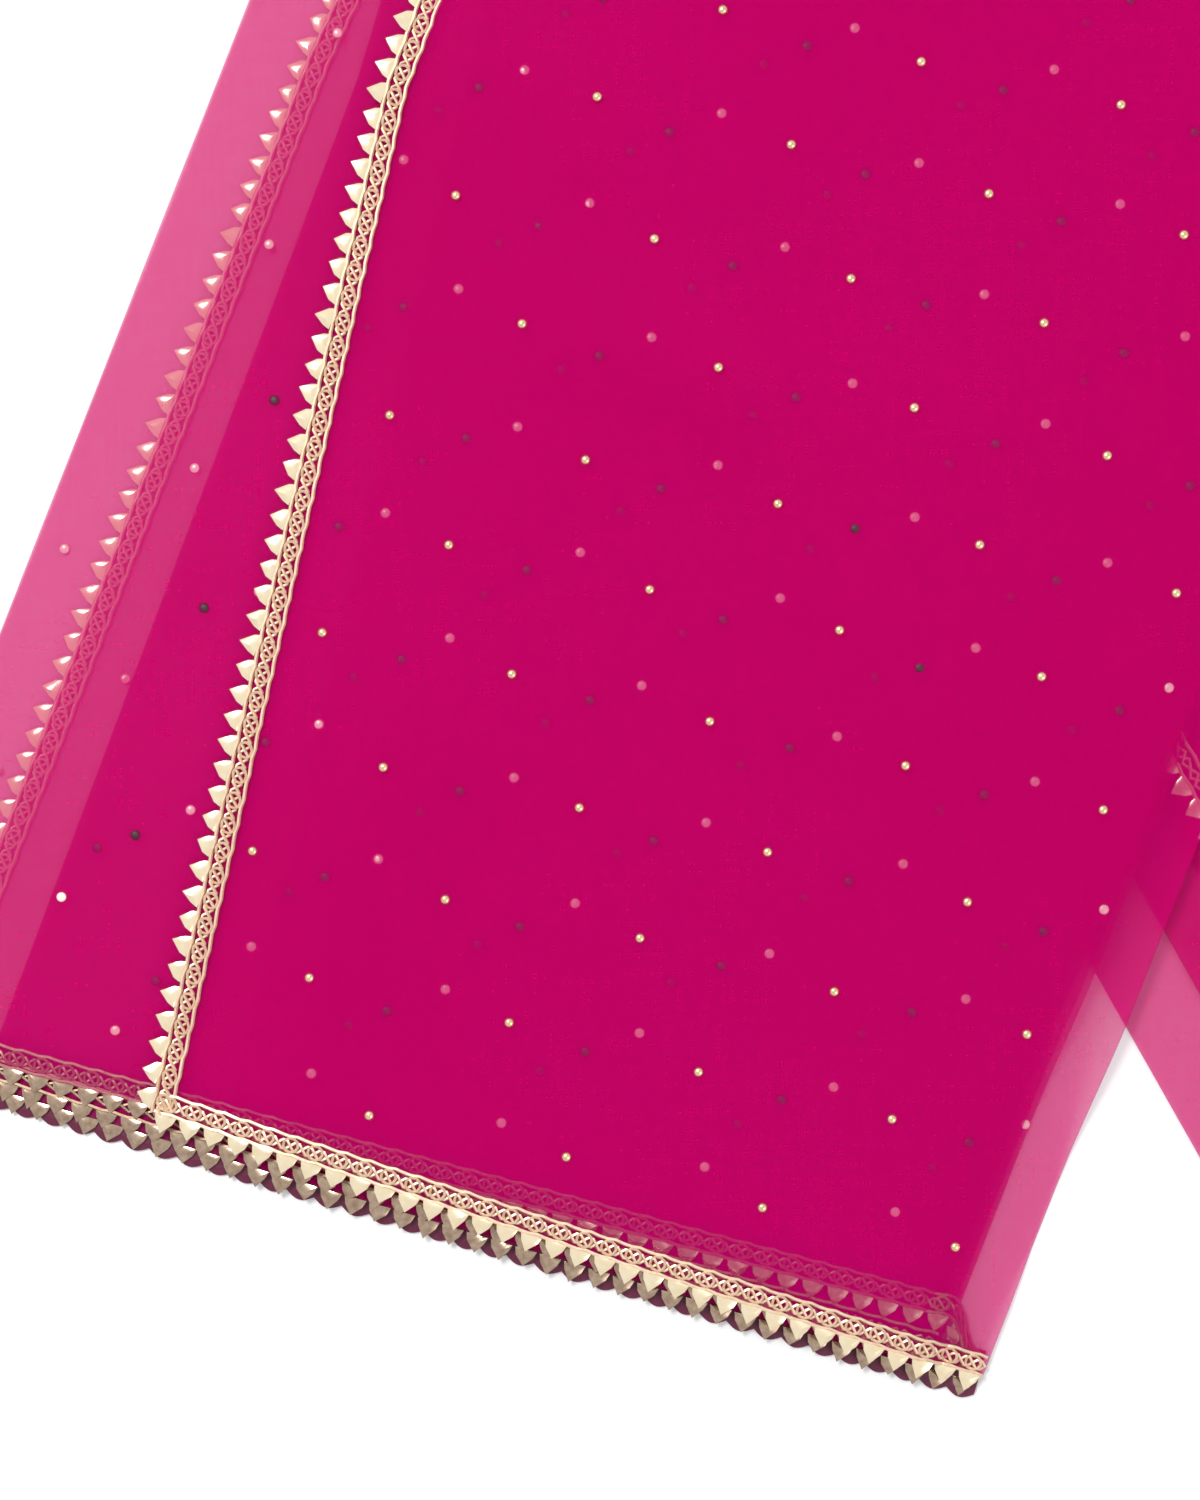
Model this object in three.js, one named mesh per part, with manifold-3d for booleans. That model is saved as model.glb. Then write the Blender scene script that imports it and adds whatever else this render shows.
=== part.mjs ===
// A sheer pink dupatta with gold scalloped lace along its edges. It is folded lengthwise into a
// strip four layers thick and then crosswise in half, and the strip lies bent on a flat surface:
// the front leg, with both laced ends, lies on the rear leg, which ends in the crosswise fold.
// Millimetres, +Z up, +Y away from the viewer. The cloth rests on Z = 0.

import * as THREE from "three";
import { mergeVertices } from "three/addons/utils/BufferGeometryUtils.js";
import Module from "manifold-3d";

// ---- driving dimensions ----
const stripWidth = 298;      // the folded strip, across
const frontLean = 21.5;      // degrees, the front leg to the right of +Y
const rearLean = 29.5;       // degrees, the rear leg to the right of -Y
const frontLength = 361;     // left fold of the front leg, corner to bend
const frontBendSlope = 0.476; // the bend line climbs this much along the front leg, per unit across
const rearBendSlope = 0.479; // the same line, measured along the rear leg
const rearLength = 768;      // left fold of the rear leg, bend to tail
const rearTailSlope = 0.07;  // slant of the tail line
const shoulderAt = 270;      // along the front leg: the lace line turns here
const gap = 0.3;             // clearance between pieces
const liftHeight = 7.2;      // what the front leg gains where it lies on the rear leg
const liftRun = 50;          // length of that climb
const liftLead = 10;         // it ends this far before the rear leg's edge
const rearThinTop = 2.5;     // the rear leg's two-layer edge, with its clearance, is this high
const rearThinWidth = 18;    // width of that edge
const hemReach = 18;         // the laced ends lie one on another over this length
const wallThick = 1.0;       // one lace wall
const noseBulge = 0.9;       // a crosswise fold rounds out by this share of half its height
const noseSteps = 6;         // faces round a crosswise fold

// Lines near the laced end of the front leg: distance from the corner line at the left fold, and
// the gain per unit across.
const endLines = {
  cloth: { start: 5.2, slope: 0.063 },
  frontLaceTop: { start: 9.4, slope: 0.063 },
  frontLaceTip: { start: 1.0, slope: 0.063 },
  secondLaceTop: { start: 5.0, slope: 0.118 },
  secondLaceTip: { start: -4.0, slope: 0.118 },
  underLaceTop: { start: 3.6, slope: 0.085 },
  underLaceTip: { start: -8.4, slope: 0.085 },
};

const table = (columns, rows) => rows.map((row) => Object.fromEntries(
  columns.map((column, index) => [column, row[index]])));

// Sections across the front leg, from the left fold to the right fold. end, shoulder and bend are
// distances from the left fold; the rest are heights above what the leg lies on.
const frontSections = table(
  ["name", "end", "shoulder", "bend", "coreTop", "bandLow", "bandTop", "panelLow", "panelTop"], [
    ["leftFold", 0, 0, 0, 0.3, 0.0, 1.4, 4.6, 5.6],
    ["leftRound", 2, 2, 2, 0.9, 1.2, 2.2, 4.6, 5.6],
    ["innerRise", 10, 10, 10, 0.9, 1.2, 2.2, 4.6, 5.6],
    ["innerLaceTip", 14, 14, 14, 0.9, 2.8, 3.8, 4.6, 5.6],
    ["innerLaceEdge", 22, 22, 22, 0.9, 2.8, 3.8, 4.6, 5.6],
    ["halfStepFoot", 34, 29, 28, 1.2, 2.8, 3.8, 4.6, 5.6],
    ["halfStepTop", 38, 33, 32, 3.0, 3.3, 4.3, 4.6, 5.6],
    ["sideLaceTip", 76.4, 35.5, 34.5, 3.0, 3.3, 4.3, 4.6, 5.6],
    ["panelEdge", 81.6, 40.7, 39.5, 3.0, 3.3, 4.3, 4.6, 5.6],
    ["sideLaceEdge", 86.4, 45.5, 44, 3.0, 3.3, 4.3, 4.6, 5.6],
    ["bandEdge", 96, 58, 56, 3.0, 3.3, 4.3, 4.6, 5.6],
    ["coreRise", 98, 60, 58, 4.3, 3.3, 4.3, 4.6, 5.6],
    ["quarter", 145, 115, 115, 4.3, 3.3, 4.3, 4.6, 5.6],
    ["middle", 195, 175, 175, 4.3, 3.3, 4.3, 4.6, 5.6],
    ["threeQuarters", 245, 235, 235, 4.3, 3.3, 4.3, 4.6, 5.6],
    ["innerFold", 282, 280, 280, 3.6, 3.3, 4.3, 4.0, 5.2],
    ["innerFoot", 289, 286, 286, 0.6, 3.3, 4.3, 1.0, 2.4],
    ["rightRound", 291, 289, 289, 0.6, 3.3, 4.3, 0.0, 2.2],
    ["rightFold", 298, 298, 298, 0.6, 3.3, 4.3, 0.0, 1.4],
  ]);

// The same for the rear leg, from the bend to the tail. It is turned over, so its laced free edge
// lies nearer its left fold.
const rearSections = table(
  ["name", "end", "bend", "coreTop", "bandLow", "bandTop", "panelLow", "panelTop"], [
    ["leftFold", 0, 0, 0.3, 0.0, 1.4, 4.6, 5.6],
    ["leftRound", 2, 2, 0.9, 1.2, 2.2, 4.6, 5.6],
    ["halfStepFoot", 19, 19, 0.9, 1.2, 2.2, 4.6, 5.6],
    ["halfStepTop", 24, 24, 3.0, 3.3, 4.3, 4.6, 5.6],
    ["sideLaceTip", 44, 32, 3.0, 3.3, 4.3, 4.6, 5.6],
    ["panelEdge", 49, 37, 3.0, 3.3, 4.3, 4.6, 5.6],
    ["sideLaceEdge", 54, 42, 3.0, 3.3, 4.3, 4.6, 5.6],
    ["bandEdge", 64, 52, 3.0, 3.3, 4.3, 4.6, 5.6],
    ["coreRise", 66, 54, 4.3, 3.3, 4.3, 4.6, 5.6],
    ["third", 140, 135, 4.3, 3.3, 4.3, 4.6, 5.6],
    ["twoThirds", 215, 212, 4.3, 3.3, 4.3, 4.6, 5.6],
    ["innerFold", 281, 281, 3.6, 3.3, 4.3, 4.0, 5.2],
    ["innerFoot", 288, 288, 0.6, 3.3, 4.3, 1.0, 2.4],
    ["rightRound", 290, 290, 0.6, 3.3, 4.3, 0.0, 2.2],
    ["rightFold", 298, 298, 0.6, 3.3, 4.3, 0.0, 1.4],
  ]);

const innerLace = { low: 1.2, top: 2.4 };   // the free laced edge between the band and the core
const secondLace = { low: 1.4, top: 2.5 };  // the second laced end, under the panel and the band
const underLace = { low: 0, top: 1.1 };     // the lowest laced end, on the surface

// ---- plan of the two legs ----
const degrees = Math.PI / 180;
const frontAlong = new THREE.Vector2(Math.sin(frontLean * degrees), Math.cos(frontLean * degrees));
const frontAcross = new THREE.Vector2(frontAlong.y, -frontAlong.x);
const rearAlong = new THREE.Vector2(Math.sin(rearLean * degrees), -Math.cos(rearLean * degrees));
const rearAcross = new THREE.Vector2(-rearAlong.y, rearAlong.x);
const bendCorner = frontAlong.clone().multiplyScalar(frontLength);

const frontPoint = (across, along) => frontAcross.clone().multiplyScalar(across)
  .addScaledVector(frontAlong, along);
const rearPoint = (across, along) => bendCorner.clone().addScaledVector(rearAcross, across)
  .addScaledVector(rearAlong, along);

const onLine = (line, across) => line.start + line.slope * across;
const mix = (from, to, share) => from + (to - from) * share;

// Where a section of the front leg runs, at a distance along it.
function frontAcrossAt(section, along) {
  if (along < shoulderAt) return mix(section.end, section.shoulder, Math.max(along, 0) / shoulderAt);
  const share = (along - shoulderAt) / (frontLength - shoulderAt);
  return mix(section.shoulder, section.bend, Math.min(share, 1));
}

// Where a section of the front leg meets a cross line.
function frontNode(section, line) {
  let across = section.end;
  let along = onLine(line, across);
  for (let pass = 0; pass < 8; pass += 1) {
    across = frontAcrossAt(section, along);
    along = onLine(line, across);
  }
  return frontPoint(across, along);
}

function rearNode(section, line) {
  const share = THREE.MathUtils.clamp(line.start / rearLength, 0, 1);
  const across = mix(section.bend, section.end, share);
  return rearPoint(across, onLine(line, across));
}

// The front leg climbs over the rear leg beside the rear leg's left fold.
function lift(point) {
  const inside = point.clone().sub(bendCorner).dot(rearAcross);
  const share = THREE.MathUtils.clamp((inside + liftLead + liftRun) / liftRun, 0, 1);
  return liftHeight * share * share * (3 - 2 * share);
}

// ---- solids ----
// A closed wall over a grid of plan points: nodes[row][column] has x, y, low and top.
function wall(nodes) {
  const rows = nodes.length;
  const columns = nodes[0].length;
  const positions = [];
  const put = (node, face) => positions.push(node.x, node.y, node[face]);
  const triangle = (corners) => corners.forEach(([node, face]) => put(node, face));
  for (let row = 0; row + 1 < rows; row += 1) {
    for (let column = 0; column + 1 < columns; column += 1) {
      const [a, b] = [nodes[row][column], nodes[row][column + 1]];
      const [d, c] = [nodes[row + 1][column], nodes[row + 1][column + 1]];
      triangle([[a, "top"], [b, "top"], [c, "top"]]);
      triangle([[a, "top"], [c, "top"], [d, "top"]]);
      triangle([[a, "low"], [c, "low"], [b, "low"]]);
      triangle([[a, "low"], [d, "low"], [c, "low"]]);
    }
  }
  const rim = [];
  for (let column = 0; column < columns; column += 1) rim.push(nodes[0][column]);
  for (let row = 1; row < rows; row += 1) rim.push(nodes[row][columns - 1]);
  for (let column = columns - 2; column >= 0; column -= 1) rim.push(nodes[rows - 1][column]);
  for (let row = rows - 2; row > 0; row -= 1) rim.push(nodes[row][0]);
  rim.forEach((node, index) => {
    const next = rim[(index + 1) % rim.length];
    triangle([[node, "low"], [next, "low"], [next, "top"]]);
    triangle([[node, "low"], [next, "top"], [node, "top"]]);
  });
  return positions;
}

function geometryOf(positions) {
  const geometry = new THREE.BufferGeometry();
  geometry.setAttribute("position", new THREE.Float32BufferAttribute(positions, 3));
  geometry.computeVertexNormals();
  return geometry;
}

const indexOf = (sections, name) => sections.findIndex((section) => section.name === name);
const between = (sections, first, last) => sections
  .slice(indexOf(sections, first), indexOf(sections, last) + 1);

// Cross lines of a leg, spread evenly between two of them.
const shifted = (line, along) => ({ start: line.start + along, slope: line.slope });
function linesBetween(from, to, count) {
  const lines = [];
  for (let row = 0; row <= count; row += 1) {
    const share = row / count;
    lines.push({ start: mix(from.start, to.start, share), slope: mix(from.slope, to.slope, share) });
  }
  return lines;
}

// A grid of nodes on a leg; heights(section) gives the low and top faces above the leg's base.
function legGrid(leg, sections, lines, heights) {
  return lines.map((line) => sections.map((section) => {
    const point = leg.node(section, line);
    const base = leg.base(point);
    const { low, top } = heights(section);
    return { x: point.x, y: point.y, low: base + low, top: base + top };
  }));
}

const frontLeg = { node: frontNode, base: lift };
const rearLeg = { node: rearNode, base: () => 0 };
const frontBend = { start: frontLength, slope: frontBendSlope };
const rearBend = { start: 0, slope: rearBendSlope };
const rearTail = { start: rearLength, slope: rearTailSlope };

// The front leg's own lines: the cloth's end, the hem line, and on to the bend.
const hemLine = shifted(endLines.cloth, hemReach);
const bodyLines = linesBetween(hemLine, shifted(frontBend, -gap), 9);
const clothLines = [endLines.cloth, ...bodyLines];
const rearLines = linesBetween(shifted(rearBend, gap), shifted(rearTail, -gap), 6);

const bandHeights = (section) => ({ low: section.bandLow, top: section.bandTop });
const panelHeights = (section) => ({ low: section.panelLow, top: section.panelTop });
const coreHeights = (section) => ({ low: 0, top: section.coreTop });
const onPanel = (section) => ({
  low: section.panelTop + gap,
  top: section.panelTop + gap + wallThick,
});

const frontStretch = (first, last, lines, heights) => wall(
  legGrid(frontLeg, between(frontSections, first, last), lines, heights));

// Seen from above, the rear leg's lines run the other way, so its grid is turned to face out.
const rearStretch = (first, last, heights) => wall(
  legGrid(rearLeg, between(rearSections, first, last), rearLines, heights).reverse());

// The hidden layers of the front leg reach down to the surface; heights here are from the surface.
function frontCore() {
  const grid = legGrid(frontLeg, between(frontSections, "leftRound", "innerFoot"), bodyLines,
    coreHeights);
  return wall(grid.map((row) => row.map((node) => ({ ...node, low: 0 }))));
}

// The room that the rear leg takes, with its clearance: an upright block over part of its width.
function rearRoom(fromAcross, height) {
  const outline = [
    rearPoint(fromAcross, -2 * stripWidth),
    rearPoint(2 * stripWidth, -2 * stripWidth),
    rearPoint(2 * stripWidth, 2 * rearLength),
    rearPoint(fromAcross, 2 * rearLength),
  ];
  const block = new THREE.ExtrudeGeometry(new THREE.Shape(outline), {
    depth: height + 1,
    bevelEnabled: false,
  });
  return block.translate(0, 0, -1);
}

// A crosswise fold: half rounds stood side by side on a line, all bulging one way.
function nose(stations, outward) {
  const rings = stations.map(({ point, height }) => {
    const ring = [];
    for (let step = 0; step <= noseSteps; step += 1) {
      const angle = Math.PI * (step / noseSteps - 0.5);
      const reach = Math.cos(angle) * noseBulge * height / 2;
      const up = (height / 2) * (1 + Math.sin(angle));
      ring.push([point.x + outward.x * reach, point.y + outward.y * reach, up]);
    }
    return ring;
  });
  const positions = [];
  const quad = (a, b, c, d) => positions.push(...a, ...b, ...c, ...a, ...c, ...d);
  const last = rings.length - 1;
  for (let index = 0; index < last; index += 1) {
    const [near, far] = [rings[index], rings[index + 1]];
    for (let step = 0; step < noseSteps; step += 1) {
      quad(near[step], near[step + 1], far[step + 1], far[step]);
    }
    quad(near[noseSteps], near[0], far[0], far[noseSteps]);
  }
  for (let step = 1; step < noseSteps; step += 1) {
    positions.push(...rings[0][0], ...rings[0][step + 1], ...rings[0][step]);
    positions.push(...rings[last][0], ...rings[last][step], ...rings[last][step + 1]);
  }
  return positions;
}

// How high a leg's stack is at a section: the band beside the panel's edge, or the panel.
const stackTop = (sections, section) => (
  sections.indexOf(section) < indexOf(sections, "panelEdge") ? section.bandTop : section.panelTop);

function foldStations(leg, sections, line) {
  return sections.map((section) => {
    const point = leg.node(section, line);
    return { point, height: leg.base(point) + stackTop(sections, section) };
  });
}

// The direction square to a row of stations, on their left as they are passed.
function squareTo(stations) {
  const along = stations[stations.length - 1].point.clone().sub(stations[0].point).normalize();
  return new THREE.Vector2(-along.y, along.x);
}

function bendNose() {
  const stations = foldStations(frontLeg, frontSections, frontBend);
  return nose(stations, squareTo(stations));
}

function tailNose() {
  const stations = foldStations(rearLeg, rearSections, rearTail).reverse();
  return nose(stations, squareTo(stations));
}

// ---- joins and cuts ----
const wasm = await Module();
wasm.setup();

function solidOf(geometry) {
  const bare = new THREE.BufferGeometry();
  const source = geometry.index ? geometry.toNonIndexed() : geometry;
  bare.setAttribute("position", source.getAttribute("position").clone());
  const merged = mergeVertices(bare, 1e-4);
  return new wasm.Manifold(new wasm.Mesh({
    numProp: 3,
    vertProperties: new Float32Array(merged.getAttribute("position").array),
    triVerts: new Uint32Array(merged.index.array),
  }));
}

function cut(positions, blocks) {
  let solid = solidOf(geometryOf(positions));
  for (const block of blocks) solid = solid.subtract(solidOf(block));
  const { vertProperties, triVerts } = solid.getMesh();
  const geometry = new THREE.BufferGeometry();
  geometry.setAttribute("position", new THREE.BufferAttribute(new Float32Array(vertProperties), 3));
  geometry.setIndex(new THREE.BufferAttribute(new Uint32Array(triVerts), 1));
  geometry.computeVertexNormals();
  return geometry;
}

// ---- materials ----
const sheerPink = new THREE.MeshStandardMaterial({ color: 0xd4005f, roughness: 0.6, metalness: 0 });
const palePink = new THREE.MeshStandardMaterial({ color: 0xc0588f, roughness: 0.6, metalness: 0 });
const goldLace = new THREE.MeshStandardMaterial({ color: 0xd9b48a, roughness: 0.35, metalness: 0.8 });
const maroonLace = new THREE.MeshStandardMaterial({ color: 0x5a0c30, roughness: 0.6, metalness: 0.2 });

// ---- the object ----
const dupatta = new THREE.Group();

function add(name, geometry, material) {
  const mesh = new THREE.Mesh(geometry, material);
  mesh.name = name;
  dupatta.add(mesh);
}

const innerLines = bodyLines;
const sideLaceLines = [shifted(endLines.frontLaceTop, gap), ...bodyLines];

add("hidden_layers_front", cut(frontCore(), [
  rearRoom(-gap, rearThinTop),
  rearRoom(rearThinWidth, liftHeight),
]), sheerPink);
add("left_band_front", geometryOf(
  frontStretch("leftFold", "bandEdge", clothLines, bandHeights)), palePink);
add("panel_front", geometryOf(
  frontStretch("panelEdge", "rightFold", clothLines, panelHeights)), sheerPink);
add("side_lace_front", geometryOf(
  frontStretch("sideLaceTip", "sideLaceEdge", sideLaceLines, onPanel)), goldLace);
add("side_lace_inner", geometryOf(
  frontStretch("innerLaceTip", "innerLaceEdge", innerLines, () => innerLace)), goldLace);
add("end_lace_front", geometryOf(frontStretch("sideLaceTip", "rightFold",
  [endLines.frontLaceTip, endLines.frontLaceTop], onPanel)), goldLace);
add("end_lace_second", geometryOf(frontStretch("innerLaceTip", "innerFold",
  [endLines.secondLaceTip, endLines.secondLaceTop], () => secondLace)), goldLace);
add("end_lace_under", geometryOf(frontStretch("innerLaceTip", "innerFold",
  [endLines.underLaceTip, endLines.underLaceTop], () => underLace)), maroonLace);
add("bend_fold", geometryOf(bendNose()), sheerPink);
add("hidden_layers_rear", geometryOf(
  rearStretch("leftRound", "innerFoot", coreHeights)), sheerPink);
add("left_band_rear", geometryOf(rearStretch("leftFold", "bandEdge", bandHeights)), palePink);
add("panel_rear", geometryOf(rearStretch("panelEdge", "rightFold", panelHeights)), sheerPink);
add("side_lace_rear", geometryOf(
  rearStretch("sideLaceTip", "sideLaceEdge", onPanel)), goldLace);
add("tail_fold", geometryOf(tailNose()), sheerPink);

// The origin is under the middle of the whole cloth, on the surface.
const box = new THREE.Box3().setFromObject(dupatta);
dupatta.position.set(-(box.min.x + box.max.x) / 2, -(box.min.y + box.max.y) / 2, 0);

export default dupatta;
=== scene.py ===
import math
import random
import bpy
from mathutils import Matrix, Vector


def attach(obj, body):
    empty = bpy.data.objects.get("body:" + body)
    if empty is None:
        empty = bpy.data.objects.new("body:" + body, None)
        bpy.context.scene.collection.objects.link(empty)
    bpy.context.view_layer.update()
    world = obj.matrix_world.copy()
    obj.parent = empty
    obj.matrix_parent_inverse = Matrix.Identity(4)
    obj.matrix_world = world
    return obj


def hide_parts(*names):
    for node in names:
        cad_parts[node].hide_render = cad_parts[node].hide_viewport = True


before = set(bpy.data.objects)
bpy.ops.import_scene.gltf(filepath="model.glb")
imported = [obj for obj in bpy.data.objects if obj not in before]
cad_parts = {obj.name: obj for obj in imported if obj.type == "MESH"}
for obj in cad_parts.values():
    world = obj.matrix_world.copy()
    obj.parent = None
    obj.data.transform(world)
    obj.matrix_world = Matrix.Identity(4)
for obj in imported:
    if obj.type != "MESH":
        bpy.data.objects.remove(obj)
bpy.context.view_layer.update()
bpy.ops.object.select_all(action="DESELECT")
random.seed(11)

# the two legs of the folded strip, in metres
strip = {
    "width": 0.298,
    "frontLean": math.radians(21.5),
    "rearLean": math.radians(29.5),
    "frontLength": 0.361,
    "frontBendSlope": 0.476,
    "rearBendSlope": 0.479,
    "rearLength": 0.768,
    "rearTailSlope": 0.07,
    "corner": Vector((-0.39115, -0.01486)),
    "layerPitch": 0.0007,
    "lowestLayer": 0.0004,
    "liftHeight": 0.0069,
    "liftRun": 0.034,
    "floorGap": 0.0002,                 # no part of the front leg lies lower than this
}
frontAlong = Vector((math.sin(strip["frontLean"]), math.cos(strip["frontLean"])))
frontAcross = Vector((frontAlong.y, -frontAlong.x))
rearAlong = Vector((math.sin(strip["rearLean"]), -math.cos(strip["rearLean"])))
rearAcross = Vector((-rearAlong.y, rearAlong.x))
bendCorner = strip["corner"] + frontAlong * strip["frontLength"]
downFront = Vector((-frontAlong.x, -frontAlong.y, 0))
acrossFront = Vector((frontAcross.x, frontAcross.y, 0))


# u is the distance across the strip from its left fold, and v the distance along a leg
def frontPlan(u, v):
    return strip["corner"] + frontAcross * u + frontAlong * v


def rearPlan(u, v):
    return bendCorner + rearAcross * u + rearAlong * v


def smooth(low, high, value):
    share = min(max((value - low) / (high - low), 0.0), 1.0)
    return share * share * (3 - 2 * share)


def lift(place):  # the front leg climbs over the rear leg's left fold
    inside = (place - bendCorner).dot(rearAcross)
    return strip["liftHeight"] * smooth(-strip["liftRun"], 0.002, inside)


# where each edge and fold runs: distance from the strip's left fold at four stations along it,
# which are the laced end, the shoulder, the bend and the tail
stations = (0.0, 0.270, 0.420, 1.150)
bendStation = stations[2]
rearStretch = 0.95                      # how fast the stations pass along the rear leg
rearStations = 0.73                     # from the bend to the tail
edges = {
    "leftA": (0.000, 0.000, 0.000, 0.000),
    "rightA": (strip["width"],) * 4,
    "innerRightA": (0.285, 0.283, 0.284, 0.284),
    "freeTopA": (0.0816, 0.0407, 0.0395, 0.049),
    "freeInnerA": (0.0195, 0.0195, 0.030, 0.040),
    "leftB": (0.0370, 0.0325, 0.020, 0.020),
    "rightB": (0.2865, 0.2855, 0.286, 0.287),
    "innerRightB": (0.282, 0.281, 0.282, 0.283),
    "freeTopB": (0.100, 0.060, 0.038, 0.049),
    "freeInnerB": (0.110, 0.090, 0.060, 0.060),
}


def edgeAt(name, s):
    row = edges[name]
    for k in range(3):
        if s <= stations[k + 1] or k == 2:
            share = min(max((s - stations[k]) / (stations[k + 1] - stations[k]), 0.0), 1.0)
            return row[k] + (row[k + 1] - row[k]) * share


def rearStation(v):
    return bendStation + v * rearStretch


# layers from the front leg's top to its bottom: the half and layer, left edge, right edge
layers = [
    ("A1", "freeTopA", "rightA"),
    ("A2", "leftA", "rightA"),
    ("A4", "freeInnerA", "innerRightA"),
    ("A3", "leftA", "innerRightA"),
    ("B3", "leftB", "innerRightB"),
    ("B4", "freeInnerB", "innerRightB"),
    ("B2", "leftB", "rightB"),
    ("B1", "freeTopB", "rightB"),
]
order = [name for name, left, right in layers]
edgeEase = 0.0022                       # a layer eases down past the edge of the one below


def layerReaches(index, u, s):
    name, left, right = layers[index]
    leftEdge = edgeAt(left, s)
    rightEdge = edgeAt(right, s)
    pastLeft = smooth(leftEdge - edgeEase, leftEdge + edgeEase, u)
    return pastLeft * (1 - smooth(rightEdge - edgeEase, rightEdge + edgeEase, u))


def stackHeight(index, u, s, turned):
    below = range(index) if turned else range(index + 1, len(layers))
    return strip["lowestLayer"] + strip["layerPitch"] * sum(layerReaches(k, u, s) for k in below)


# soft ridges and troughs: centre across, centre along, half length, half width, turn, height
creases = (
    (0.150, 0.262, 0.110, 0.012, 0.10, -0.0011),
    (0.175, 0.236, 0.120, 0.010, 0.16, 0.0010),
    (0.100, 0.225, 0.060, 0.008, 0.02, 0.0006),
    (0.240, 0.180, 0.050, 0.014, 0.35, 0.0007),
    (0.130, 0.120, 0.070, 0.016, -0.10, 0.0006),
    (0.210, 0.080, 0.060, 0.010, 0.25, -0.0006),
    (0.2895, 0.120, 0.140, 0.0011, 1.57, 0.0011),
)
# the upper layers share the creases, each a little less than the one above
creaseShare = {"depth": 1.5, "layers": 4, "fade": 0.15, "ripple": 0.00025}


def undulate(u, v):
    rise = 0.0
    for midAcross, midAlong, halfLong, halfWide, turn, height in creases:
        aside, ahead = u - midAcross, v - midAlong
        along = aside * math.cos(turn) + ahead * math.sin(turn)
        away = -aside * math.sin(turn) + ahead * math.cos(turn)
        peak = creaseShare["depth"] * height
        rise += peak * math.exp(-(along / halfLong) ** 2 - (away / halfWide) ** 2)
    ripple = creaseShare["ripple"] * math.sin(u * 71 + 2.1 * math.sin(v * 23))
    return rise + ripple * math.sin(v * 47 + u * 19)


# where each laced end runs: its distance along the strip at the left fold, and its slope across
ends = {
    "A1": {"start": 0.0052, "slope": 0.063},
    "A2": {"start": 0.0015, "slope": 0.118},
    "inner": {"start": -0.0012, "slope": 0.092, "step": 0.0035},
    "lower": {"start": -0.0035, "slope": 0.085},
}


def endLine(name, u):
    return ends[name]["start"] + ends[name]["slope"] * u


# how far layers rise over the laces under them, and where across each lace they do
room = {
    "tucked": 0.0020,
    "tuckedFrom": (-0.014, -0.006),
    "tuckedTo": (0.004, 0.012),
    "secondEnd": 0.0013,
    "secondEndTo": (0.008, 0.020),
}


def laceRoom(index, u, v):
    rise = 0.0
    if index in (1, 2):
        past = u - edgeAt("freeInnerA", min(v, bendStation))
        rise += room["tucked"] * smooth(*room["tuckedFrom"], past) * (1 - smooth(*room["tuckedTo"], past))
    if index in (0, 1):
        pastHem = v - endLine("A2", u)
        rise = max(rise, room["secondEnd"] * (1 - smooth(*room["secondEndTo"], pastHem)))
    return rise


def frontPoint(index, u, v):
    place = frontPlan(u, v)
    stacked = stackHeight(index, u, min(v, bendStation), False)
    height = stacked + lift(place) + laceRoom(index, u, v)
    if index < creaseShare["layers"]:
        height += undulate(u, v) * (1 - creaseShare["fade"] * index)
    return Vector((place.x, place.y, max(height, strip["floorGap"])))


def rearPoint(index, u, v):
    place = rearPlan(u, v)
    height = stackHeight(index, u, rearStation(v), True)
    return Vector((place.x, place.y, height))


def bendV(u):
    return strip["frontLength"] + strip["frontBendSlope"] * u


def rearStart(u):
    return strip["rearBendSlope"] * u


def tailV(u):
    return strip["rearLength"] + strip["rearTailSlope"] * u


def clothEnd(name, u):  # where each layer's laced end lies
    if name == "A1":
        return endLine("A1", u)
    if name == "A2":  # meets the top panel's end at the right-hand fold
        second = endLine("A2", u)
        return second + (endLine("A1", u) - second) * smooth(0.284, 0.296, u)
    if name in ("A3", "A4"):
        step = ends["inner"]["step"] if name == "A4" else 0.0
        return endLine("inner", u) + step * smooth(0.0, 0.03, u)
    return endLine("lower", u)


# every piece is one mesh of points and faces worked out by its function
def meshPiece(name, points, faces, materials, faceSlots=None):
    mesh = bpy.data.meshes.new(name)
    mesh.from_pydata(points, [], faces)
    for material in materials:
        mesh.materials.append(material)
    if faceSlots:
        mesh.polygons.foreach_set("material_index", faceSlots)
    mesh.update()
    piece = bpy.data.objects.new(name, mesh)
    bpy.context.collection.objects.link(piece)
    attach(piece, "root")
    return piece


def smoothByAngle(piece, degrees):
    bpy.ops.object.select_all(action="DESELECT")
    piece.select_set(True)
    bpy.context.view_layer.objects.active = piece
    bpy.ops.object.shade_smooth_by_angle(angle=math.radians(degrees))
    piece.select_set(False)


# materials
cloth = {
    "cover": 0.42,                      # share of the surface that the threads fill
    "coverVaries": 0.011,
    "thread": (0.98, 0.0015, 0.29, 1),
    "threadDeep": (0.92, 0.001, 0.25, 1),
    "opening": (0.845, 0.955, 0.975, 1),
    "cloudScale": 9,
    "slubFine": 900,                    # across the thread
    "slubLong": 60,                     # along it
    "roughness": 0.55,
    "specular": 0.02,
    "sheen": 0.012,
    "sheenTint": (1.0, 0.5, 0.75, 1),
}


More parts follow.
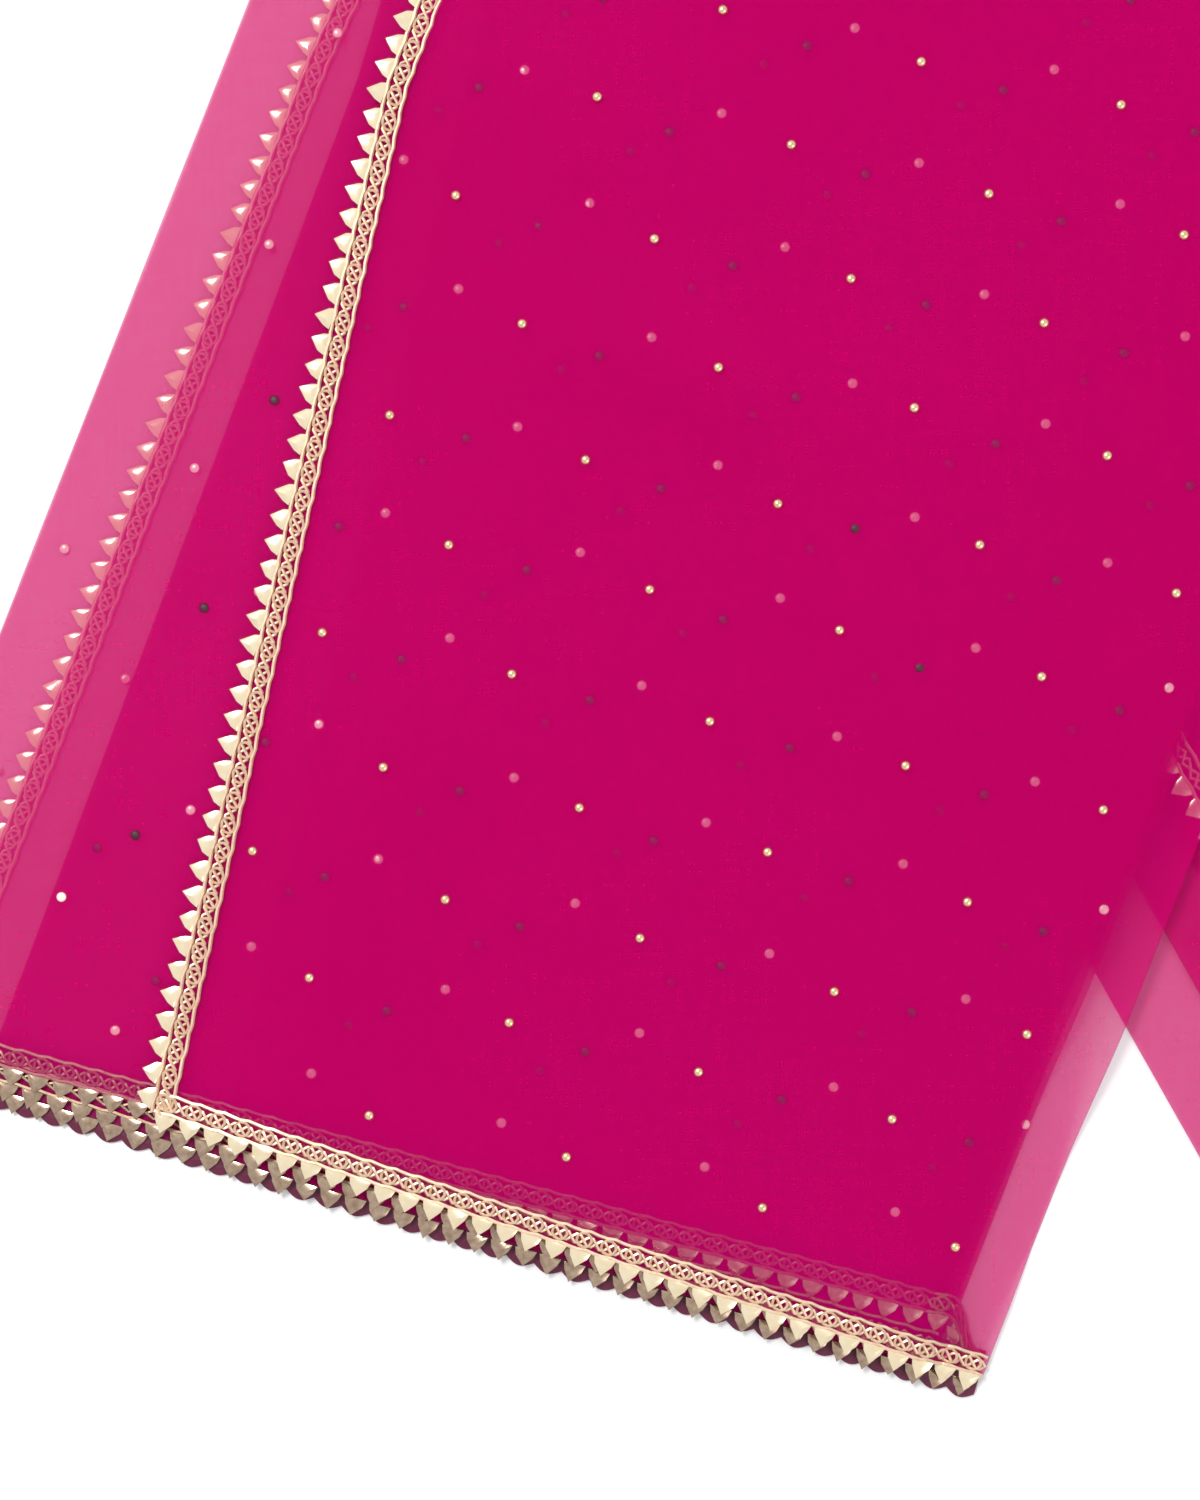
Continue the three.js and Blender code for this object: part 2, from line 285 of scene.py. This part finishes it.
def sheerCloth():
    material = bpy.data.materials.new("sheerPinkOrganza")
    material.use_nodes = True
    nodes, links = material.node_tree.nodes, material.node_tree.links
    nodes.clear()
    out = nodes.new("ShaderNodeOutputMaterial")
    place = nodes.new("ShaderNodeTexCoord")
    cloud = nodes.new("ShaderNodeTexNoise")
    cloud.inputs["Scale"].default_value = cloth["cloudScale"]
    cloud.inputs["Detail"].default_value = 3
    weave = nodes.new("ShaderNodeTexNoise")   # slubs of uneven thread, long one way
    stretch = nodes.new("ShaderNodeMapping")
    stretch.inputs["Rotation"].default_value = (0, 0, -strip["frontLean"])
    stretch.inputs["Scale"].default_value = (cloth["slubFine"], cloth["slubLong"], cloth["slubLong"])
    weave.inputs["Scale"].default_value = 1
    weave.inputs["Detail"].default_value = 2
    cross = nodes.new("ShaderNodeTexNoise")
    stretchCross = nodes.new("ShaderNodeMapping")
    stretchCross.inputs["Rotation"].default_value = (0, 0, -strip["frontLean"])
    stretchCross.inputs["Scale"].default_value = (cloth["slubLong"], cloth["slubFine"], cloth["slubLong"])
    cross.inputs["Scale"].default_value = 1
    both = nodes.new("ShaderNodeMath")
    both.operation = "ADD"
    filled = nodes.new("ShaderNodeMapRange")
    filled.inputs["From Min"].default_value = 0.7
    filled.inputs["From Max"].default_value = 1.3
    filled.inputs["To Min"].default_value = cloth["cover"] - cloth["coverVaries"]
    filled.inputs["To Max"].default_value = cloth["cover"] + cloth["coverVaries"]
    shade = nodes.new("ShaderNodeMixRGB")
    shade.inputs["Color1"].default_value = cloth["thread"]
    shade.inputs["Color2"].default_value = cloth["threadDeep"]
    thread = nodes.new("ShaderNodeBsdfPrincipled")
    thread.inputs["Roughness"].default_value = cloth["roughness"]
    thread.inputs["Specular IOR Level"].default_value = cloth["specular"]
    thread.inputs["Sheen Weight"].default_value = cloth["sheen"]
    thread.inputs["Sheen Roughness"].default_value = 0.4
    thread.inputs["Sheen Tint"].default_value = cloth["sheenTint"]
    glow = nodes.new("ShaderNodeBsdfTranslucent")
    body = nodes.new("ShaderNodeMixShader")
    body.inputs[0].default_value = 0.5
    opening = nodes.new("ShaderNodeBsdfTransparent")
    opening.inputs["Color"].default_value = cloth["opening"]
    sheet = nodes.new("ShaderNodeMixShader")
    links.new(place.outputs["Object"], cloud.inputs["Vector"])
    links.new(place.outputs["Object"], stretch.inputs["Vector"])
    links.new(place.outputs["Object"], stretchCross.inputs["Vector"])
    links.new(stretch.outputs[0], weave.inputs["Vector"])
    links.new(stretchCross.outputs[0], cross.inputs["Vector"])
    links.new(weave.outputs["Fac"], both.inputs[0])
    links.new(cross.outputs["Fac"], both.inputs[1])
    links.new(both.outputs[0], filled.inputs["Value"])
    links.new(cloud.outputs["Fac"], shade.inputs["Fac"])
    links.new(shade.outputs[0], thread.inputs["Base Color"])
    links.new(shade.outputs[0], glow.inputs["Color"])
    links.new(thread.outputs[0], body.inputs[1])
    links.new(glow.outputs[0], body.inputs[2])
    links.new(filled.outputs[0], sheet.inputs[0])
    links.new(opening.outputs[0], sheet.inputs[1])
    links.new(body.outputs[0], sheet.inputs[2])
    links.new(sheet.outputs[0], out.inputs["Surface"])
    return material


def metalFinish(name, light, dark, roughness, metallic, grain):
    material = bpy.data.materials.new(name)
    material.use_nodes = True
    nodes, links = material.node_tree.nodes, material.node_tree.links
    shader = nodes["Principled BSDF"]
    place = nodes.new("ShaderNodeTexCoord")
    noise = nodes.new("ShaderNodeTexNoise")
    noise.inputs["Scale"].default_value = grain
    noise.inputs["Detail"].default_value = 3
    ramp = nodes.new("ShaderNodeMixRGB")
    ramp.inputs["Color1"].default_value = (*dark, 1)
    ramp.inputs["Color2"].default_value = (*light, 1)
    bump = nodes.new("ShaderNodeBump")
    bump.inputs["Strength"].default_value = 0.25
    bump.inputs["Distance"].default_value = 0.0001
    links.new(place.outputs["Object"], noise.inputs["Vector"])
    links.new(noise.outputs["Fac"], ramp.inputs["Fac"])
    links.new(ramp.outputs[0], shader.inputs["Base Color"])
    links.new(noise.outputs["Fac"], bump.inputs["Height"])
    links.new(bump.outputs[0], shader.inputs["Normal"])
    shader.inputs["Roughness"].default_value = roughness
    shader.inputs["Metallic"].default_value = metallic
    return material


organza = sheerCloth()
goldThread = metalFinish("goldThread", (1.0, 0.80, 0.60), (0.66, 0.42, 0.27), 0.4, 0.6, 900)
paleThread = metalFinish("paleGoldThread", (1.0, 0.92, 0.80), (0.75, 0.5, 0.34), 0.4, 0.35, 900)
goldFoil = metalFinish("goldFoil", (1.0, 0.93, 0.70), (0.90, 0.68, 0.42), 0.2, 0.6, 500)
# darker gold for the lower laced ends: painted shade, standing for these laces lying in shadow under the
# layers above
shadedLaceThread = metalFinish("laceThreadPaintedShade", (0.50, 0.36, 0.24), (0.22, 0.13, 0.08), 0.45, 0.7, 900)
shadedLaceFoil = metalFinish("laceFoilPaintedShade", (0.74, 0.58, 0.42), (0.24, 0.13, 0.09), 0.22, 0.85, 600)
# dark maroon: painted shade for the lowest lace points in shadow under the pink cloth
maroonShade = metalFinish("maroonPaintedShade", (0.16, 0.008, 0.05), (0.07, 0.002, 0.02), 0.5, 0.0, 900)
goldStud = metalFinish("goldStud", (1.0, 0.80, 0.50), (0.8, 0.55, 0.28), 0.2, 0.9, 300)
# a paler, whiter copy of the gold dot colour for the second layer's dots: painted highlight standing for
# their glints seen through the top layer
paintedGlintStud = metalFinish("goldStudSecondLayerPaintedGlint", (1.0, 0.95, 0.85), (1.0, 0.85, 0.65), 0.3, 0.3, 300)
darkStud = metalFinish("studBack", (0.10, 0.004, 0.03), (0.03, 0.001, 0.01), 0.5, 0.1, 300)

# the cloth: one sheet, folded lengthwise, crosswise and over the bend
sheetCounts = {"across": 26, "foldSteps": 3, "front": 56, "rear": 40, "turnSteps": 5}
foldReach = 0.0009                      # how far a fold rounds past its layers' edges
turnReach = 0.45                        # the same where the strip turns back, as a share of its height


def columnPlan():
    runs = (
        ("1", "freeTop", "right", None),
        ("2", "right", "left", ("1", "2", "right", 1)),
        ("3", "left", "innerRight", ("2", "3", "left", -1)),
        ("4", "innerRight", "freeInner", ("3", "4", "innerRight", 1)),
    )
    columns = []
    for layer, start, stop, fold in runs:
        if fold:
            for step in range(1, sheetCounts["foldSteps"] + 1):
                columns.append(("fold", fold, step / (sheetCounts["foldSteps"] + 1)))
        for step in range(sheetCounts["across"] + 1):
            columns.append(("flat", (layer, start, stop), step / sheetCounts["across"]))
    return columns


foldInsets = {"right": -foldReach, "innerRight": -foldReach, "left": foldReach}


def columnPoint(column, half, s, placer, away):
    kind, facts, share = column
    if kind == "flat":
        layer, start, stop = facts
        first = edgeAt(start + half, s) + foldInsets.get(start, 0.0)
        last = edgeAt(stop + half, s) + foldInsets.get(stop, 0.0)
        return placer(order.index(half + layer), first + (last - first) * share)
    upper, lower, edge, side = facts
    u = edgeAt(edge + half, s) - side * foldReach
    top = placer(order.index(half + upper), u)
    low = placer(order.index(half + lower), u)
    angle = math.pi * share
    point = (top + low) / 2 + (top - low) / 2 * math.cos(angle)
    reach = side * foldReach * math.sin(angle)
    return Vector((point.x + away.x * reach, point.y + away.y * reach, point.z))


columns = columnPlan()
bendLean = math.radians(3.9)
bendOut = Vector((-math.sin(bendLean), math.cos(bendLean)))


def frontRow(half, share):
    def onFront(index, u):
        end = clothEnd(order[index], u)
        return frontPoint(index, u, end + (bendV(u) - end) * share)

    row = []
    for column in columns:
        guess = columnPoint(column, half, strip["frontLength"] * share, onFront, frontAcross)
        s = (guess.xy - strip["corner"]).dot(frontAlong)
        row.append(columnPoint(column, half, s, onFront, frontAcross))
    return row


def rearRow(half, share):
    def onRear(index, u):
        return rearPoint(index, u, rearStart(u) + (tailV(u) - rearStart(u)) * share)

    s = bendStation + rearStations * share
    return [columnPoint(column, half, s, onRear, rearAcross) for column in columns]


def turnRows(first, second, outward):
    steps = sheetCounts["turnSteps"]
    rows = []
    for step in range(1, steps):
        angle = math.pi * step / steps
        row = []
        for a, b in zip(first, second):
            point = (a + b) / 2 + (a - b) / 2 * math.cos(angle)
            reach = abs(a.z - b.z) * turnReach * math.sin(angle)
            row.append(Vector((point.x + outward.x * reach, point.y + outward.y * reach, point.z)))
        rows.append(row)
    return rows


def foldedCloth():
    frontCount, rearCount = sheetCounts["front"], sheetCounts["rear"]
    halves = {}
    for half in "AB":
        front = [frontRow(half, k / frontCount) for k in range(frontCount + 1)]
        rear = [rearRow(half, k / rearCount) for k in range(rearCount + 1)]
        halves[half] = front + turnRows(front[-1], rear[0], bendOut) + rear
    rows = halves["A"] + turnRows(halves["A"][-1], halves["B"][-1], rearAlong) + halves["B"][::-1]
    points = [tuple(point) for row in rows for point in row]
    wide = len(columns)
    faces = [
        (r * wide + c, r * wide + c + 1, (r + 1) * wide + c + 1, (r + 1) * wide + c)
        for r in range(len(rows) - 1)
        for c in range(wide - 1)
    ]
    return points, faces


points, faces = foldedCloth()
dupattaCloth = meshPiece("dupatta_cloth", points, faces, [organza])
for polygon in dupattaCloth.data.polygons:
    polygon.use_smooth = True
clothArea = sum(polygon.area for polygon in dupattaCloth.data.polygons)
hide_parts("hidden_layers_front", "left_band_front", "panel_front", "bend_fold",
            "hidden_layers_rear", "left_band_rear", "panel_rear", "tail_fold")
print("cloth:", len(points), "points,", round(clothArea, 3), "square metres")

# lace: a looped braid and a row of folded foil points
lace = {
    "pitch": 0.0064,
    "thread": 0.00042,
    "sides": 5,
    "braid": 0.0052,
    "tooth": 0.0046,
    "toothRise": 0.0011,
    "foilWall": 0.00022,
    "wobble": 0.5,                      # how unevenly the foil is folded
    "threadHeight": 0.0006,
    "smoothAngle": 38,
}
threadSlot, foilSlot = 0, 1


def addTube(store, path, radius, sides, closed=False):
    points, faces, slots = store
    start = len(points)
    count = len(path)
    for k, (here, up) in enumerate(path):
        before = path[(k - 1) % count][0] if closed or k else here
        after = path[(k + 1) % count][0] if closed or k + 1 < count else here
        along = (after - before).normalized()
        side = along.cross(up).normalized()
        top = side.cross(along)
        for n in range(sides):
            angle = 2 * math.pi * n / sides
            points.append(tuple(here + radius * (side * math.cos(angle) + top * math.sin(angle))))
    spans = count if closed else count - 1
    for k in range(spans):
        a, b = start + k * sides, start + ((k + 1) % count) * sides
        for n in range(sides):
            m = (n + 1) % sides
            faces.append((a + n, a + m, b + m, b + n))
            slots.append(threadSlot)
    if not closed:
        faces.append(tuple(start + n for n in reversed(range(sides))))
        faces.append(tuple(start + spans * sides + n for n in range(sides)))
        slots.extend((threadSlot, threadSlot))


def addTooth(store, base, along, out, width):
    # a small foil square folded to a point: two facets, a raised middle, and a thin wall
    points, faces, slots = store
    start = len(points)
    up = Vector((0, 0, 1))
    tilt = random.uniform(-lace["wobble"], lace["wobble"])
    half = width / 2
    depth, rise = lace["tooth"], lace["toothRise"]
    top = [
        base - along * half + up * rise * 0.3,
        base + along * half + up * rise * (0.3 + tilt),
        base + out * depth * random.uniform(0.92, 1.08) + along * half * 0.3 * tilt + up * rise * 0.1,
        base + out * depth * 0.36 + along * half * 0.5 * tilt + up * rise * (1.0 + 0.4 * tilt),
        base - along * half * 0.78 + out * depth * 0.42 + up * rise * 0.25,
        base + along * half * 0.78 + out * depth * 0.42 + up * rise * (0.25 + 0.4 * tilt),
    ]
    for corner in top:
        points.append(tuple(corner))
    for corner in top:
        points.append(tuple(corner - up * lace["foilWall"]))
    below = start + len(top)
    mirrored = along.cross(out).z < 0
    for a, b, c in ((0, 3, 1), (0, 4, 3), (4, 2, 3), (3, 2, 5), (3, 5, 1)):
        if mirrored:
            b, c = c, b
        faces.append((start + a, start + b, start + c))
        faces.append((below + a, below + c, below + b))
        slots.extend((foilSlot, foilSlot))
    rim = (0, 4, 2, 5, 1)
    for k, a in enumerate(rim):
        b = rim[(k + 1) % len(rim)]
        faces.append((start + a, start + b, below + b, below + a))
        slots.append(foilSlot)


def layLace(store, place, length, fine=True, teethOnly=False):
    # place(d) gives the cloth's edge at a distance along it, and the way out from the cloth
    up = Vector((0, 0, 1))
    pitch, braid, thread = lace["pitch"], lace["braid"], lace["thread"]
    threadHeight = lace["threadHeight"]
    count = max(2, round(length / pitch))
    grain = 6 if fine else 3            # points on each loop of the braid

    def at(d, across, rise):
        here, out = place(d)
        return here + out * across + up * rise

    if not teethOnly:
        for phase in (0.0, math.pi):
            path = []
            for k in range(count * grain + 1):
                d = length * k / (count * grain)
                swing = math.sin(math.pi * 2 * k / grain + phase)
                weaveUp = 0.00035 * math.cos(math.pi * 2 * k / grain + phase)
                path.append((at(d, -braid * (0.46 - 0.24 * swing), threadHeight + weaveUp), up))
            addTube(store, path, thread, lace["sides"])
        for edge in (-0.92, -0.02):     # the two cords that bind the braid
            path = []
            for k in range(count * 3 + 1):
                waver = 0.0002 * math.sin(k * 2.1)
                path.append((at(length * k / (count * 3), braid * edge + waver, threadHeight), up))
            addTube(store, path, thread * 1.15, lace["sides"])
        for k in range(count if fine else 0):
            d = length * (k + 0.5) / count
            turns = 9
            ring = []
            for n in range(turns):
                angle = 2 * math.pi * n / turns
                ring.append((at(d + pitch * 0.30 * math.cos(angle),
                                -braid * 0.5 + braid * 0.34 * math.sin(angle),
                                0.0010 + 0.0002 * math.cos(angle)), up))
            addTube(store, ring, thread * 0.85, 4, closed=True)
    for k in range(count):
        d = length * (k + 0.5) / count
        here, out = place(d)
        along = Vector((-out.y, out.x, 0))
        addTooth(store, here + out * 0.0001 + up * 0.0004, along, out, pitch * 0.88)


def lacePiece(name, runs, materials):
    store = ([], [], [])
    for run in runs:
        layLace(store, *run)
    piece = meshPiece(name, store[0], store[1], materials, store[2])
    smoothByAngle(piece, lace["smoothAngle"])
    print(name, len(store[1]), "faces")
    return piece


def sideRun(edge, index, start, stop, onRearLeg=False):
    across = rearAcross if onRearLeg else frontAcross
    outward = Vector((across.x, across.y, 0)) * -1

    def place(d):
        v = start + (stop - start) * min(max(d / abs(stop - start), 0), 1)
        if onRearLeg:
            return rearPoint(index, edgeAt(edge, rearStation(v)), v), outward
        return frontPoint(index, edgeAt(edge, v), v), outward
    return place, abs(stop - start)


def endRun(name, index, start, stop):
    tilt = 0.06 if name == "A1" else 0.1
    outward = (downFront + acrossFront * tilt).normalized()

    def place(d):
        u = start + (stop - start) * min(max(d / abs(stop - start), 0), 1)
        return frontPoint(index, u, clothEnd(name, u)), outward
    return place, abs(stop - start)


# where each lace starts and stops, along the strip for a side and across it for an end
place, length = sideRun("freeTopA", 0, 0.010, 0.398)
sideLaceFront = lacePiece("side_lace_top", [(place, length)], [goldThread, goldFoil])
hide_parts("side_lace_front")
place, length = sideRun("freeInnerA", 3, 0.012, 0.385)
sideLaceInner = lacePiece("side_lace_tucked", [(place, length)], [paleThread, goldFoil])
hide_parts("side_lace_inner")
place, length = endRun("A1", 0, 0.0806, 0.2975)
endLaceFront = lacePiece("end_lace_top", [(place, length)], [goldThread, goldFoil])
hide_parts("end_lace_front")
place, length = endRun("A2", 2, 0.002, 0.2975)
endLaceSecond = lacePiece("end_lace_second_layer", [(place, length)], [shadedLaceThread, shadedLaceFoil])
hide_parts("end_lace_second")
place, length = endRun("A3", 3, 0.002, 0.284)
lowPlace, lowLength = endRun("B3", 4, 0.037, 0.297)
lowestRuns = [(place, length, False), (lowPlace, lowLength, False, True)]
endLaceUnder = lacePiece("end_lace_lowest", lowestRuns, [shadedLaceThread, shadedLaceFoil])
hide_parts("end_lace_under")
place, length = sideRun("freeTopB", 7, 0.022, 0.760, onRearLeg=True)
sideLaceRear = lacePiece("side_lace_rear_leg", [(place, length, False)], [goldThread, goldFoil])
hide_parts("side_lace_rear")


# a scalloped dark maroon strip under the lowest lace: painted shade standing for the lowest layers' lace
# points in shadow under the pink cloth
scallops = {"pitch": 0.0072, "reach": 0.0034, "swell": 0.0016, "underLace": 0.008, "wall": 0.0003}


def scallopShadeStrip():
    place, length = endRun("B1", 7, 0.003, 0.2975)
    count = round(length / scallops["pitch"])
    steps = 8
    points, faces = [], []
    for k in range(count * steps + 1):
        d = length * k / (count * steps)
        here, out = place(d)
        reach = scallops["reach"] + scallops["swell"] * abs(math.sin(math.pi * k / steps))
        for across, rise in ((-scallops["underLace"], 0.0006), (reach * 0.6, 0.0007), (reach, 0.0003)):
            points.append(tuple(here + out * across + Vector((0, 0, rise))))
    for k in range(count * steps):
        for c in range(2):
            faces.append((k * 3 + c, k * 3 + c + 1, k * 3 + c + 4, k * 3 + c + 3))
    piece = meshPiece("scallop_painted_shade", points, faces, [maroonShade])
    bpy.context.view_layer.objects.active = piece
    wall = piece.modifiers.new("wall", "SOLIDIFY")
    wall.thickness = scallops["wall"]
    bpy.ops.object.modifier_apply(modifier="wall")
    print("scallop_painted_shade", count, "scallops")
    return piece


scallopShade = scallopShadeStrip()

# the small gold dots, in offset rows
dots = {
    "radius": 0.00125,
    "rise": 0.0008,
    "stepRow": (0.0493, 0.0071),
    "stepNext": (0.0265, -0.0250),
    "unevenness": 0.0012,
    "sides": 10,
    "smoothAngle": 50,
    "clearLeft": 0.006,
    "clearRight": 0.003,
}


def studRows(index, firstAcross, firstAlong, placePoint, low, high, edgesOf):
    found = []
    for i in range(-30, 31):
        for j in range(-40, 41):
            u = firstAcross + i * dots["stepRow"][0] + j * dots["stepNext"][0]
            v = firstAlong + i * dots["stepRow"][1] + j * dots["stepNext"][1]
            u += random.uniform(-dots["unevenness"], dots["unevenness"])
            v += random.uniform(-dots["unevenness"], dots["unevenness"])
            left, right = edgesOf(v)
            inside = left + dots["clearLeft"] < u < right - dots["clearRight"]
            if inside and low(u) < v < high(u):
                found.append(placePoint(index, u, v))
    return found


def studPiece(name, places, material, drop=0.0):
    # dots seen through a layer are half as tall, and drop is how far they are moved down
    points, faces = [], []
    sides = dots["sides"]
    tall = dots["rise"] * (0.5 if drop else 1.0)
    for here in places:
        start = len(points)
        base = here + Vector((0, 0, 0.00006 - drop))
        for radius, rise in ((1.0, 0.0), (0.92, 0.45), (0.6, 0.85)):
            for n in range(sides):
                angle = 2 * math.pi * n / sides
                points.append((base.x + math.cos(angle) * radius * dots["radius"],
                               base.y + math.sin(angle) * radius * dots["radius"],
                               base.z + rise * tall))
        points.append((base.x, base.y, base.z + tall))
        for ring in range(2):
            for n in range(sides):
                m = (n + 1) % sides
                a, b = start + ring * sides, start + (ring + 1) * sides
                faces.append((a + n, a + m, b + m, b + n))
        top = start + 3 * sides
        for n in range(sides):
            faces.append((start + 2 * sides + n, start + 2 * sides + (n + 1) % sides, top))
        faces.append(tuple(start + n for n in reversed(range(sides))))
    piece = meshPiece(name, points, faces, [material])
    smoothByAngle(piece, dots["smoothAngle"])
    print(name, len(places), "dots")
    return piece


def frontEdges(left, right):
    return lambda v: (edgeAt(left, v), edgeAt(right, v))


def frontTop(u):
    return bendV(u) - 0.004


def aboveEnd(start, slope):  # dots begin above this line
    return lambda u: start + slope * u


secondSlope = ends["A2"]["slope"]
found = studRows(0, 0.0903, 0.2833, frontPoint, aboveEnd(0.015, ends["A1"]["slope"]), frontTop,
                 frontEdges("freeTopA", "rightA"))
topDots = studPiece("dots_top", found, goldStud)
found = studRows(1, 0.0993, 0.2605, frontPoint, aboveEnd(0.016, secondSlope), frontTop,
                 frontEdges("leftA", "rightA"))
secondDots = studPiece("dots_second_layer", found, paintedGlintStud, 0.00055)
found = studRows(1, 0.1111, 0.2837, frontPoint, aboveEnd(0.016, secondSlope), frontTop,
                 frontEdges("leftB", "innerRightA"))
darkBacks = studPiece("dots_second_layer_backs", found, darkStud, -0.00008)
found = studRows(2, 0.1030, 0.2755, frontPoint, aboveEnd(0.02, secondSlope), frontTop,
                 frontEdges("leftB", "innerRightB"))
darkDots = studPiece("dots_inner_layers", found, darkStud, 0.0001)
found = studRows(7, 0.090, 0.300, rearPoint, lambda u: rearStart(u) + 0.006,
                 lambda u: tailV(u) - 0.006, lambda v: (edgeAt("freeTopB", rearStation(v)), 0.287))
rearDots = studPiece("dots_rear_leg", found, goldStud)

# floor, light and camera
studio = {"floor": 6, "floorShade": (0.86, 0.86, 0.86, 1), "sky": 0.70}
bpy.ops.mesh.primitive_plane_add(size=studio["floor"], location=(0, 0, 0))
floor = bpy.context.object
floor.name = "floor"
paper = bpy.data.materials.new("paleFloor")
paper.use_nodes = True
paperShader = paper.node_tree.nodes["Principled BSDF"]
paperShader.inputs["Base Color"].default_value = studio["floorShade"]
paperShader.inputs["Roughness"].default_value = 0.9
floor.data.materials.append(paper)
bpy.ops.object.select_all(action="DESELECT")

world = bpy.data.worlds.new("studio")
world.use_nodes = True
world.node_tree.nodes["Background"].inputs[0].default_value = (1, 1, 1, 1)
world.node_tree.nodes["Background"].inputs[1].default_value = studio["sky"]
bpy.context.scene.world = world


def areaLight(name, place, aim, size, power):
    data = bpy.data.lights.new(name, "AREA")
    data.shape = "DISK"
    data.size = size
    data.energy = power
    lamp = bpy.data.objects.new(name, data)
    lamp.location = place
    lamp.rotation_euler = (Vector(aim) - Vector(place)).to_track_quat("-Z", "Y").to_euler()
    bpy.context.collection.objects.link(lamp)


areaLight("keyLight", (-0.75, 0.75, 1.5), (-0.2, 0.05, 0), 0.5, 18)
areaLight("fillLight", (0.8, -0.6, 1.3), (-0.1, 0.05, 0), 1.0, 5)
print("floor and lights in place")

# straight down, over the frame's centre, and high enough to take in its height
view = {"centre": (-0.2012, 0.0551), "height": 0.375, "lens": 60, "sensor": 36, "clothTop": 0.004}
camera = bpy.data.cameras.new("camera")
camera.lens = view["lens"]
camera.sensor_width = view["sensor"]
cameraObject = bpy.data.objects.new("camera", camera)
distance = view["lens"] * view["height"] / view["sensor"]
cameraObject.location = (view["centre"][0], view["centre"][1], distance + view["clothTop"])
bpy.context.collection.objects.link(cameraObject)
bpy.context.scene.camera = cameraObject
bpy.context.scene.view_settings.view_transform = "Standard"
# the stack of sheer layers needs many see-through steps and few others
bpy.context.scene.cycles.transparent_max_bounces = 28
bpy.context.scene.cycles.max_bounces = 7
bpy.context.scene.cycles.diffuse_bounces = 3
